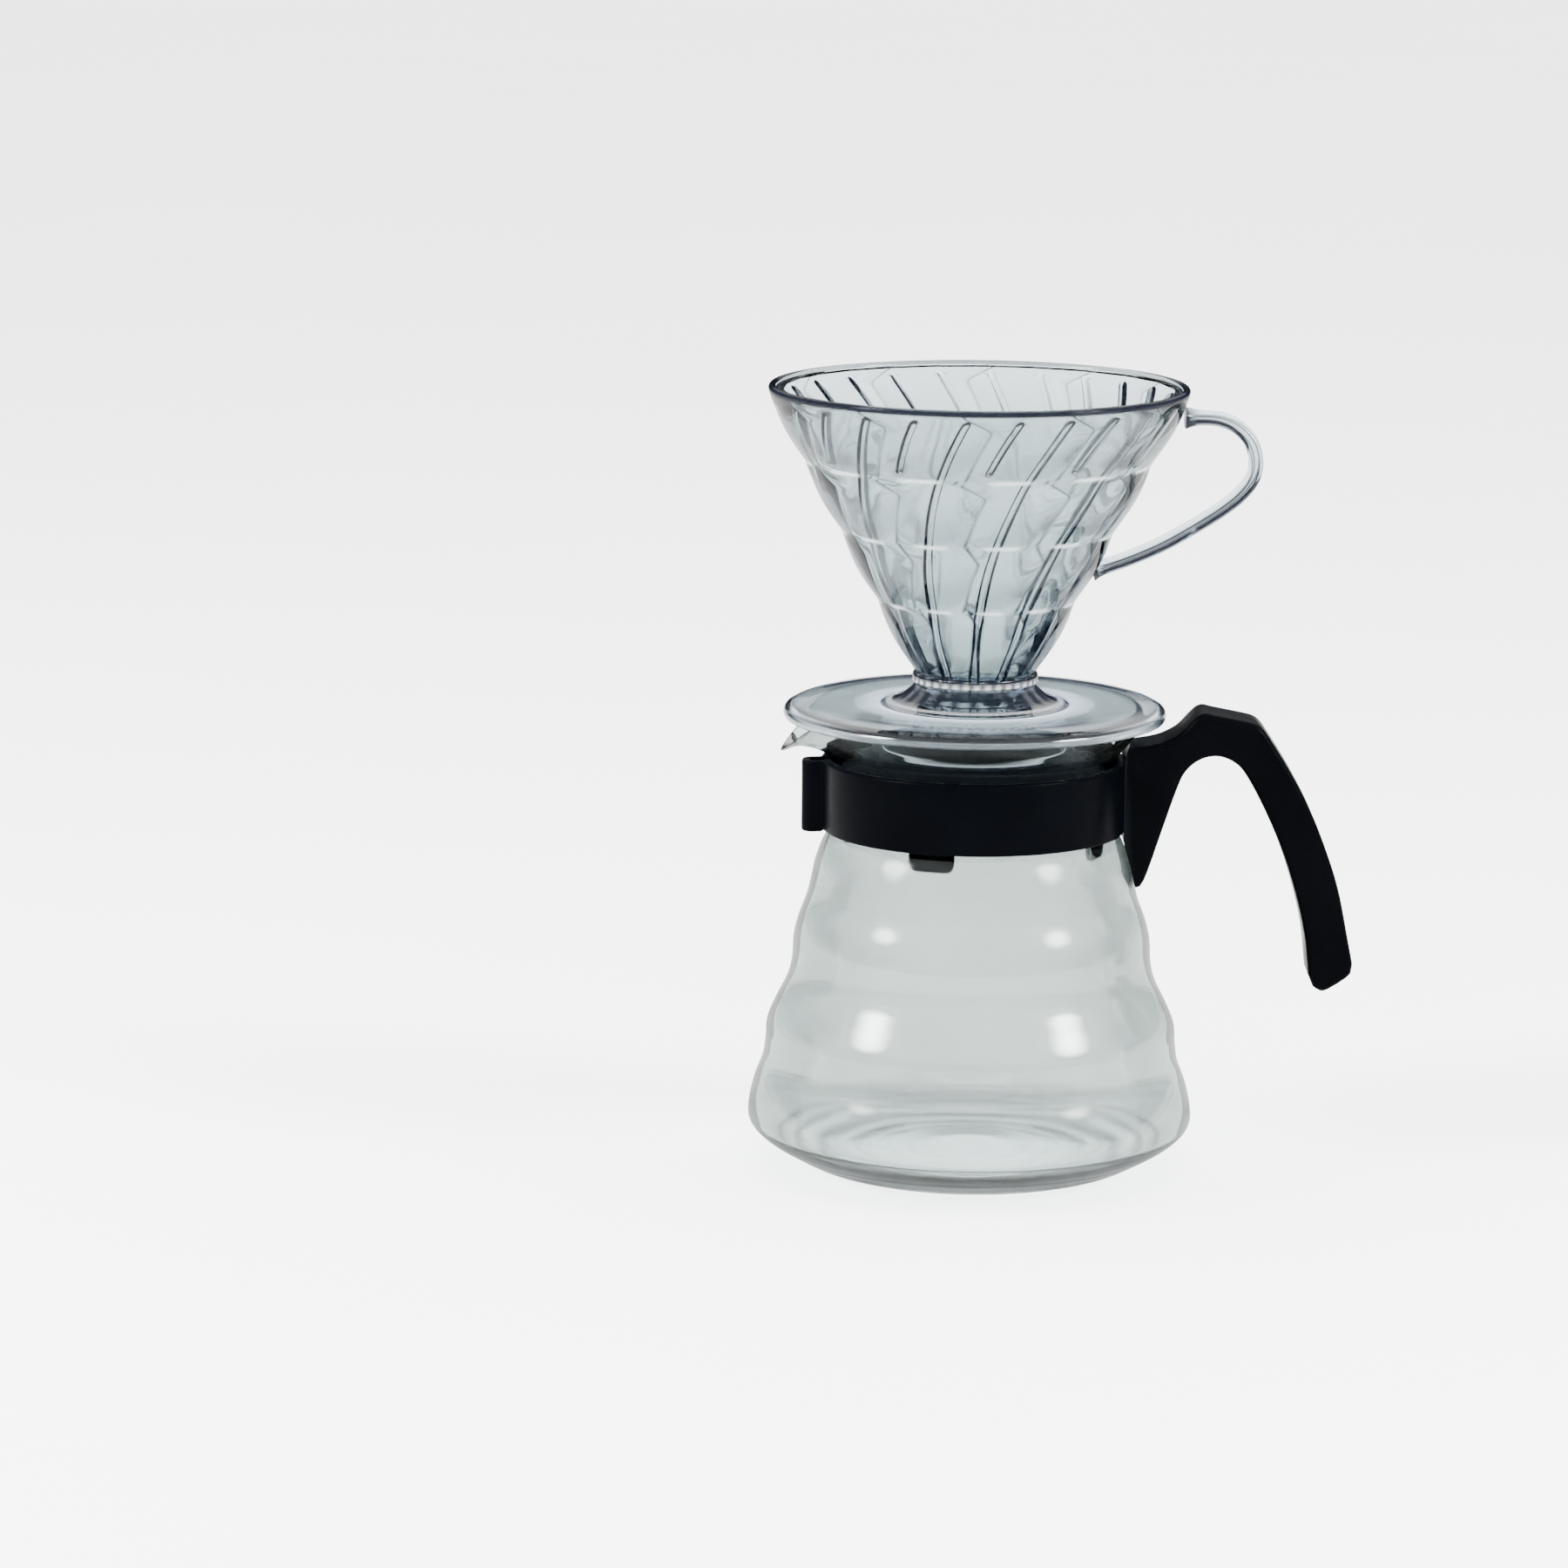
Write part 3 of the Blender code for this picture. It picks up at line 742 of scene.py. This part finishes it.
def make_lid(mat):
    """A turned lid with an open centre, and four legs that reach down into the neck."""
    top = LID_TOP_Z
    profile = [(LID_OPEN_R, top - 0.0018)]
    profile += arc(LID_OPEN_R + 0.0004, top - 0.0004, 0.0004, 180, 90, 3)
    profile += arc(0.0272, top - 0.0006, 0.0006, 90, 40, 3)
    profile += curve_through([(0.0281, top - 0.0008), (0.0300, 0.1157), (0.0335, 0.1137),
                              (LID_R - 0.0012, 0.1127)], 4)
    profile += arc(LID_R - 0.0006, 0.1120, 0.0006, 80, 0, 4)
    profile += [(LID_R, 0.1112), (0.0366, 0.0990)]
    profile += arc(0.0361, 0.0989, 0.0004, 0, -90, 3)
    profile += [(0.0352, 0.0985), (0.0350, 0.0988), (0.0352, 0.1105), (0.0330, 0.1118),
                (0.0270, 0.1149)]
    lid = turned("lid", profile, mat, 216, sharp=35)
    for i in range(LEGS):
        middle = LEG_PHASE + 2 * math.pi * i / LEGS
        rings = []
        for k in range(-1, LEG_STEPS + 1):
            down = max(k, 0) / LEG_STEPS
            z = LEG_ROOT_Z if k < 0 else LEG_ROUND_Z - (LEG_ROUND_Z - LEG_LOW_Z) * down
            narrow = 1 - 0.30 * (1 - math.sqrt(1 - down * down))
            ring = [(LEG_IN_R, t / 6) for t in range(-6, 7)]
            ring += [(LEG_OUT_R, t / 6) for t in range(6, -7, -1)]
            rings.append([
                (r * math.cos(middle + t * LEG_HALF * narrow),
                 r * math.sin(middle + t * LEG_HALF * narrow), z) for r, t in ring])
        boolean(lid, lofted("leg", rings, mat, closed=False), "UNION")
    smooth_by_angle(lid, 35)
    return lid


# Strap


def strap_path():
    """Centre line of the strap in plan: around the neck, then out and back in a squared fold."""
    r = STRAP_IN_R + STRAP_THICK / 2
    turn = FOLD_TURN
    centre_y = FOLD_HALF_Y + turn
    away = math.asin(centre_y / (r + turn))
    centre_x = -(r + turn) * math.cos(away)
    stop = 180 - math.degrees(away)
    end_x = FOLD_X + STRAP_THICK / 2 + FOLD_CORNER
    side = FOLD_HALF_Y - FOLD_CORNER
    half = arc(centre_x, centre_y, turn, stop - 180, -90, 8)
    half += arc(end_x, side, FOLD_CORNER, 90, 180, 8)
    ring = arc(0, 0, r, -stop, stop, 200)
    return ring[:-1] + half + [(x, -y) for x, y in reversed(half)][:-1]


def make_strap(mat):
    """A flat band with soft edges, swept along its path and dropped a little at the fold."""
    path = strap_path()
    count = len(path)
    half = STRAP_THICK / 2
    section = rounded(
        [(-half, STRAP_LOW_Z), (half, STRAP_LOW_Z), (half, STRAP_TOP_Z), (-half, STRAP_TOP_Z)],
        0.0008, 4)
    rings = []
    for i, (x, y) in enumerate(path):
        ahead = path[(i + 1) % count]
        behind = path[i - 1]
        dx = ahead[0] - behind[0]
        dy = ahead[1] - behind[1]
        length = math.hypot(dx, dy)
        drop = FOLD_DROP * ease((-x - 0.0400) / 0.0030)
        rings.append([(x + dy / length * n, y - dx / length * n, z - drop) for n, z in section])
    return lofted("strap", rings, mat, sharp=60)


# Hooked handle


def handle_outline():
    """Side view of the handle: neck block with its wedge, thumb horn, arch and sweeping grip."""
    shoulder = [(0.0380, 0.1192), (0.0445, 0.1200), (0.0510, 0.1212), (0.0554, 0.1232)]
    horn = [(0.0576, 0.1250), (0.0597, 0.1273), (0.0616, 0.1291), (0.0636, 0.1298),
            (0.0662, 0.1292), (0.0745, 0.1276), (0.0780, 0.1266), (0.0800, 0.1249)]
    back = curve_through(
        [(0.0812, 0.1232), (0.0869, 0.1142), (0.0923, 0.1044), (0.0970, 0.0935),
         (0.1014, 0.0805), (0.1046, 0.0655), (0.1059, 0.0592)], 8)
    tip = [(0.1055, 0.0566), (0.1040, 0.0550), (0.0992, 0.0519), (0.0970, 0.0515),
           (0.0950, 0.0527)]
    front = curve_through(
        [(0.0936, 0.0560), (0.0923, 0.0674), (0.0895, 0.0792), (0.0856, 0.0910),
         (0.0804, 0.1028), (0.0750, 0.1126), (0.0713, 0.1162), (0.0667, 0.1176),
         (0.0620, 0.1164), (0.0583, 0.1131), (0.0560, 0.1080), (0.0523, 0.0969),
         (0.0490, 0.0866), (0.0474, 0.0823)], 6)
    foot = [(0.0464, 0.0807), (0.0452, 0.0803), (0.0380, 0.0803)]
    return curve_through(shoulder + horn, 3) + back + curve_through(tip, 2) + front + foot


def clearance_tool(mat):
    """Strap and glass grown by the fit: what the handle's inner face is hollowed with."""
    strap_r = STRAP_IN_R + STRAP_THICK + 0.0001
    profile = [(0.0506, 0.0560), (0.0503, 0.0645), (0.0490, 0.0700), (0.0468, 0.0760),
               (0.0455, 0.0815), (0.0444, 0.0865), (0.0428, 0.0920), (strap_r, 0.0940),
               (strap_r, 0.1160), (0.0432, 0.1200), (0.0454, 0.1226), (0.0470, 0.1260)]
    rings = [circle(r, z, 240) for r, z in profile]
    return lofted("clearance", rings, mat, closed=False)


def make_handle(mat):
    """The side view given its width, its edges rounded, and its inner face fitted to the neck."""
    outline = handle_outline()
    rings = [[(u, w, v) for u, v in outline] for w in (-HANDLE_HALF_Y, HANDLE_HALF_Y)]
    handle = lofted("handle", rings, mat, closed=False)
    bevel(handle, HANDLE_ROUND, 5, 60)
    boolean(handle, clearance_tool(mat), "DIFFERENCE")
    smooth_by_angle(handle, 32)
    return handle


# Finishes. A span is the range of a noise, of a surface's turn away from the eye, or of an
# edge's sharpness, that a finish runs over.
# The paler tint of the painted lightening, mixed in by the pale share.
PALE_TINT = (0.80, 0.84, 0.84)
# White of the painted highlights.
PAINTED_GLINT_WHITE = (0.86, 0.88, 0.90)
SHADOW_TINT = (0.965, 0.97, 0.97)
NOISE_SPAN = (0.3, 0.7)
TURN_SPAN = (0.15, 0.40)
EDGE_SPAN = (0.535, 0.66)
RESIN_IOR = 1.49
GLASS_IOR = 1.474
PLASTIC_IOR = 1.49
BLACK_SHEEN = 0.006


def start(name):
    """A new material, with its node tree, nodes and links."""
    mat = bpy.data.materials.new(name)
    mat.use_nodes = True
    tree = mat.node_tree
    return mat, tree, tree.nodes, tree.links


def noise(tree, coord, scale, detail, stretch=None):
    """A noise pattern in object space, stretched along an axis if asked."""
    source = coord
    if stretch:
        mapping = tree.nodes.new("ShaderNodeMapping")
        mapping.inputs["Scale"].default_value = stretch
        tree.links.new(coord, mapping.inputs["Vector"])
        source = mapping.outputs["Vector"]
    node = tree.nodes.new("ShaderNodeTexNoise")
    node.inputs["Scale"].default_value = scale
    node.inputs["Detail"].default_value = detail
    tree.links.new(source, node.inputs["Vector"])
    return node.outputs["Fac"]


def ramp(tree, fac, stops):
    """A colour for each value, between stops of (place, colour)."""
    node = tree.nodes.new("ShaderNodeValToRGB")
    node.color_ramp.elements[0].position = stops[0][0]
    node.color_ramp.elements[0].color = (*stops[0][1], 1)
    node.color_ramp.elements[1].position = stops[-1][0]
    node.color_ramp.elements[1].color = (*stops[-1][1], 1)
    for place, colour in stops[1:-1]:
        node.color_ramp.elements.new(place).color = (*colour, 1)
    tree.links.new(fac, node.inputs["Fac"])
    return node.outputs["Color"]


def span(tree, value, first, last, low, high):
    """Takes a value that runs from first to last over to one that runs from low to high."""
    node = tree.nodes.new("ShaderNodeMapRange")
    node.inputs["From Min"].default_value = first
    node.inputs["From Max"].default_value = last
    node.inputs["To Min"].default_value = low
    node.inputs["To Max"].default_value = high
    tree.links.new(value, node.inputs["Value"])
    return node.outputs["Result"]


def bump(tree, height, strength, distance, below=None):
    """A pattern's relief in metres, on top of another relief if one is given."""
    node = tree.nodes.new("ShaderNodeBump")
    node.inputs["Strength"].default_value = strength
    node.inputs["Distance"].default_value = distance
    tree.links.new(height, node.inputs["Height"])
    if below:
        tree.links.new(below, node.inputs["Normal"])
    return node.outputs["Normal"]


def stored(tree, name):
    """A share stored at the points of the piece."""
    node = tree.nodes.new("ShaderNodeAttribute")
    node.attribute_name = name
    return node.outputs["Fac"]


def blend_colours(tree, fac, first, second):
    """Turns a colour socket into a plain colour by a share."""
    node = tree.nodes.new("ShaderNodeMix")
    node.data_type = "RGBA"
    tree.links.new(fac, node.inputs["Factor"])
    tree.links.new(first, node.inputs["A"])
    node.inputs["B"].default_value = (*second, 1)
    return node.outputs["Result"]


def blend_shaders(tree, fac, first, second):
    node = tree.nodes.new("ShaderNodeMixShader")
    tree.links.new(fac, node.inputs["Fac"])
    tree.links.new(first, node.inputs[1])
    tree.links.new(second, node.inputs[2])
    return node.outputs["Shader"]


def plain(tree, kind, colour):
    """A shader node with one colour and nothing else set."""
    node = tree.nodes.new(kind)
    node.inputs["Color"].default_value = (*colour, 1)
    return node.outputs["BSDF"]


def see_through(name, tints, line, calm, ior, bend, absorb, density, rough, wave, wave_scale,
                wave_depth):
    """Clear glass or resin: faint tint, a slow moulded waviness, fine handling marks, and light
    taken up along its thickness so that edges and ribs go dark. Lamps pass through it.

    Part of it bends light without mirroring any: calm is how much where the surface faces the
    eye and where it turns away, and bend is how strongly. The stored shares are read here:
    line paints shade near black in the line colour, glint paints highlights white, and pale
    paints the tint lighter.
    """
    mat, tree, nodes, links = start(name)
    bsdf = nodes["Principled BSDF"]
    out = nodes["Material Output"]
    coord = nodes.new("ShaderNodeTexCoord").outputs["Object"]
    # The pale share mixes in PALE_TINT: painted lightening.
    tint = blend_colours(tree, stored(tree, "pale"), ramp(tree, noise(tree, coord, 28, 2), tints),
                         PALE_TINT)
    links.new(tint, bsdf.inputs["Base Color"])
    bsdf.inputs["Transmission Weight"].default_value = 1.0
    bsdf.inputs["IOR"].default_value = ior
    marks = noise(tree, coord, 160, 4, (1, 1, 0.25))
    links.new(span(tree, marks, *NOISE_SPAN, *rough), bsdf.inputs["Roughness"])

    through = nodes.new("ShaderNodeBsdfRefraction")
    through.inputs["IOR"].default_value = bend
    once = nodes.new("ShaderNodeGamma")
    once.inputs["Gamma"].default_value = 0.5
    links.new(tint, once.inputs["Color"])
    links.new(once.outputs["Color"], through.inputs["Color"])
    slow = bump(tree, noise(tree, coord, wave_scale, 1, wave), 1.0, wave_depth)
    for shader in (bsdf, through):
        links.new(slow, shader.inputs["Normal"])

    facing = nodes.new("ShaderNodeLayerWeight").outputs["Facing"]
    most = nodes.new("ShaderNodeMath")
    most.operation = "MAXIMUM"
    links.new(span(tree, facing, *TURN_SPAN, *calm), most.inputs[0])
    links.new(stored(tree, "still"), most.inputs[1])
    look = blend_shaders(tree, most.outputs["Value"], bsdf.outputs["BSDF"], through.outputs["BSDF"])
    # Painted shade and painted highlights: plain diffuse colours mixed in by the line and glint
    # shares.
    for share, colour in (("line", line), ("glint", PAINTED_GLINT_WHITE)):
        paint = plain(tree, "ShaderNodeBsdfDiffuse", colour)
        look = blend_shaders(tree, stored(tree, share), look, paint)
    shadow = nodes.new("ShaderNodeLightPath").outputs["Is Shadow Ray"]
    look = blend_shaders(tree, shadow, look, plain(tree, "ShaderNodeBsdfTransparent", SHADOW_TINT))
    links.new(look, out.inputs["Surface"])

    soak = nodes.new("ShaderNodeVolumeAbsorption")
    soak.inputs["Color"].default_value = (*absorb, 1)
    soak.inputs["Density"].default_value = density
    links.new(soak.outputs["Volume"], out.inputs["Volume"])
    return mat


def black_plastic(name, colours, worn_and_highlit, rough, grain, grain_depth):
    """Moulded polypropylene: spark-eroded grain, cloudy sheen and edges a little lighter, partly as
    wear and partly as a painted edge highlight.
    """
    mat, tree, nodes, links = start(name)
    bsdf = nodes["Principled BSDF"]
    coord = nodes.new("ShaderNodeTexCoord").outputs["Object"]
    # Convex edges lighter: partly wear, partly a painted edge highlight.
    edge = nodes.new("ShaderNodeNewGeometry").outputs["Pointiness"]
    rubbed_and_highlit = span(tree, edge, *EDGE_SPAN, 0.0, 1.0)
    cloud = ramp(tree, noise(tree, coord, 45, 5), colours)
    links.new(blend_colours(tree, rubbed_and_highlit, cloud, worn_and_highlit), bsdf.inputs["Base Color"])
    sheen = span(tree, noise(tree, coord, 90, 3), *NOISE_SPAN, *rough)
    links.new(sheen, bsdf.inputs["Roughness"])
    bsdf.inputs["IOR"].default_value = PLASTIC_IOR
    bsdf.inputs["Specular IOR Level"].default_value = BLACK_SHEEN
    fine = bump(tree, noise(tree, coord, grain, 2), 0.35, grain_depth)
    links.new(bump(tree, noise(tree, coord, 60, 1), 0.25, 0.0003, fine), bsdf.inputs["Normal"])
    return mat


def floor_finish():
    mat, tree, nodes, links = start("floor")
    bsdf = nodes["Principled BSDF"]
    coord = nodes.new("ShaderNodeTexCoord").outputs["Object"]
    greys = [(0.3, (0.86, 0.86, 0.86)), (0.7, (0.88, 0.88, 0.88))]
    links.new(ramp(tree, noise(tree, coord, 3, 4), greys), bsdf.inputs["Base Color"])
    bsdf.inputs["Roughness"].default_value = 0.9
    bsdf.inputs["Specular IOR Level"].default_value = 0.1
    return mat


# Studio


def softbox(name, place, power, colour):
    """A lamp aimed at the server, brightest in its middle so that its glint has soft edges."""
    data = bpy.data.lights.new(name, "AREA")
    data.shape = "RECTANGLE"
    data.size, data.size_y = LAMP_SIZE
    data.energy = power
    data.color = colour
    data.use_nodes = True
    tree = data.node_tree
    nodes, links = tree.nodes, tree.links
    across = nodes.new("ShaderNodeVectorMath")
    across.operation = "DISTANCE"
    links.new(nodes.new("ShaderNodeNewGeometry").outputs["Parametric"], across.inputs[0])
    across.inputs[1].default_value = (0.5, 0.5, 0)
    fall = nodes.new("ShaderNodeMapRange")
    fall.interpolation_type = "SMOOTHSTEP"
    fall.inputs["From Min"].default_value = 0.05
    fall.inputs["From Max"].default_value = 0.50
    fall.inputs["To Min"].default_value = LAMP_PEAK
    fall.inputs["To Max"].default_value = 0.0
    links.new(across.outputs["Value"], fall.inputs["Value"])
    links.new(fall.outputs["Result"], nodes["Emission"].inputs["Strength"])
    lamp = bpy.data.objects.new(name, data)
    turn = (Vector(LAMP_AIM) - Vector(place)).to_track_quat("-Z", "Y")
    lamp.matrix_world = Matrix.Translation(place) @ turn.to_matrix().to_4x4()
    bpy.context.scene.collection.objects.link(lamp)


def make_world():
    """A bright ceiling over a dark horizon, which draws the dark lines in clear edges. The
    horizon leans: light comes down lower in front than behind."""
    world = bpy.data.worlds.new("studio")
    bpy.context.scene.world = world
    world.use_nodes = True
    tree = world.node_tree
    back = tree.nodes["Background"]
    coord = tree.nodes.new("ShaderNodeTexCoord").outputs["Generated"]
    split = tree.nodes.new("ShaderNodeSeparateXYZ")
    tree.links.new(coord, split.inputs["Vector"])
    lift = tree.nodes.new("ShaderNodeMath")
    lift.operation = "MULTIPLY_ADD"
    lift.inputs[1].default_value = HORIZON_LEAN
    tree.links.new(split.outputs["Y"], lift.inputs[0])
    tree.links.new(split.outputs["Z"], lift.inputs[2])
    stops = [(0.0, (0.010, 0.011, 0.015)), (0.10, (0.04, 0.043, 0.055)),
             (0.17, (0.30, 0.31, 0.33)), (0.45, (1.0, 1.0, 1.0))]
    tree.links.new(ramp(tree, lift.outputs["Value"], stops), back.inputs["Color"])
    back.inputs["Strength"].default_value = SKY_STRENGTH


def make_floor():
    bm = bmesh.new()
    bmesh.ops.create_circle(bm, cap_ends=True, radius=FLOOR_R, segments=96)
    mesh = bpy.data.meshes.new("floor")
    bm.to_mesh(mesh)
    bm.free()
    floor = bpy.data.objects.new("floor", mesh)
    bpy.context.scene.collection.objects.link(floor)
    floor.location.z = -FLOOR_GAP
    mesh.materials.append(floor_finish())


def make_camera():
    data = bpy.data.cameras.new("camera")
    data.sensor_width = 36
    data.lens = CAMERA_LENS
    data.clip_end = 100
    cam = bpy.data.objects.new("camera", data)
    bpy.context.scene.collection.objects.link(cam)
    place = Matrix.Translation(CAMERA_PLACE)
    pitch = Matrix.Rotation(math.radians(90 - CAMERA_DOWN), 4, "X")
    roll = Matrix.Rotation(math.radians(CAMERA_ROLL), 4, "Z")
    cam.matrix_world = place @ pitch @ roll
    bpy.context.scene.camera = cam


def finish_piece(obj, node, body):
    """Shows a piece in place of its CAD node, on its body."""
    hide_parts(node)
    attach(obj, body)


def clear_finishes():
    """The cone's resin, the plate's, which mirrors more, and the server's glass."""
    resin = dict(ior=RESIN_IOR, absorb=(0.15, 0.25, 0.50), density=38, rough=(0.0, 0.012),
                 wave=(1, 1, 0.5), wave_scale=55)
    # line: the colour of each finish's painted shade.
    cone = see_through(
        "clear_resin", tints=[(0.35, (0.46, 0.52, 0.53)), (0.65, (0.49, 0.55, 0.54))],
        line=(0.003, 0.004, 0.008), calm=(0.62, 0.70), bend=1.42, wave_depth=0.00008, **resin)
    plate = see_through(
        "clear_resin_plate", tints=[(0.35, (0.40, 0.46, 0.48)), (0.65, (0.43, 0.49, 0.50))],
        line=(0.003, 0.004, 0.006), calm=(0.45, 0.30), bend=1.45, wave_depth=0.00004, **resin)
    glass = see_through(
        "borosilicate", tints=[(0.35, (0.43, 0.475, 0.46)), (0.65, (0.46, 0.50, 0.49))],
        line=(0.010, 0.013, 0.015), calm=(0.55, 0.80), ior=GLASS_IOR, bend=1.15,
        absorb=(0.25, 0.42, 0.36), density=10, rough=(0.0, 0.015), wave=(0.4, 0.4, 1.4),
        wave_scale=24, wave_depth=0.00005)
    return cone, plate, glass


def black_finishes():
    """The lid's, the strap's and the handle's black; the lid's is a little lighter."""
    lid = black_plastic(
        "lid_satin", colours=[(0.3, (0.0022, 0.0026, 0.0034)), (0.7, (0.0031, 0.0037, 0.0047))],
        worn_and_highlit=(0.011, 0.013, 0.016), rough=(0.22, 0.34), grain=900, grain_depth=0.00006)
    strap = black_plastic(
        "strap_satin", colours=[(0.3, (0.0003, 0.0004, 0.0007)), (0.7, (0.0005, 0.0007, 0.0011))],
        worn_and_highlit=(0.004, 0.005, 0.007), rough=(0.26, 0.38), grain=1100, grain_depth=0.00006)
    handle = black_plastic(
        "handle_satin", colours=[(0.3, (0.0003, 0.0004, 0.0006)), (0.7, (0.0006, 0.0007, 0.0010))],
        worn_and_highlit=(0.006, 0.008, 0.010), rough=(0.26, 0.42), grain=1000, grain_depth=0.00008)
    return lid, strap, handle


def main():
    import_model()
    make_camera()
    cone_resin, plate_resin, glass = clear_finishes()
    lid_black, strap_black, handle_black = black_finishes()
    finish_piece(make_cone(cone_resin), "dripper_cone", "dripper")
    finish_piece(make_base(plate_resin), "dripper_base", "dripper")
    finish_piece(make_glass(glass), "server_glass", "server")
    finish_piece(make_lid(lid_black), "server_lid", "lid")
    finish_piece(make_strap(strap_black), "neck_strap", "server")
    finish_piece(make_handle(handle_black), "server_handle", "server")
    make_world()
    make_floor()
    softbox("left_box", (-1.35, -0.60, 0.92), 128, (0.97, 0.99, 1))
    softbox("right_box", (1.35, -0.72, 0.92), 118, (1, 1, 1))


main()
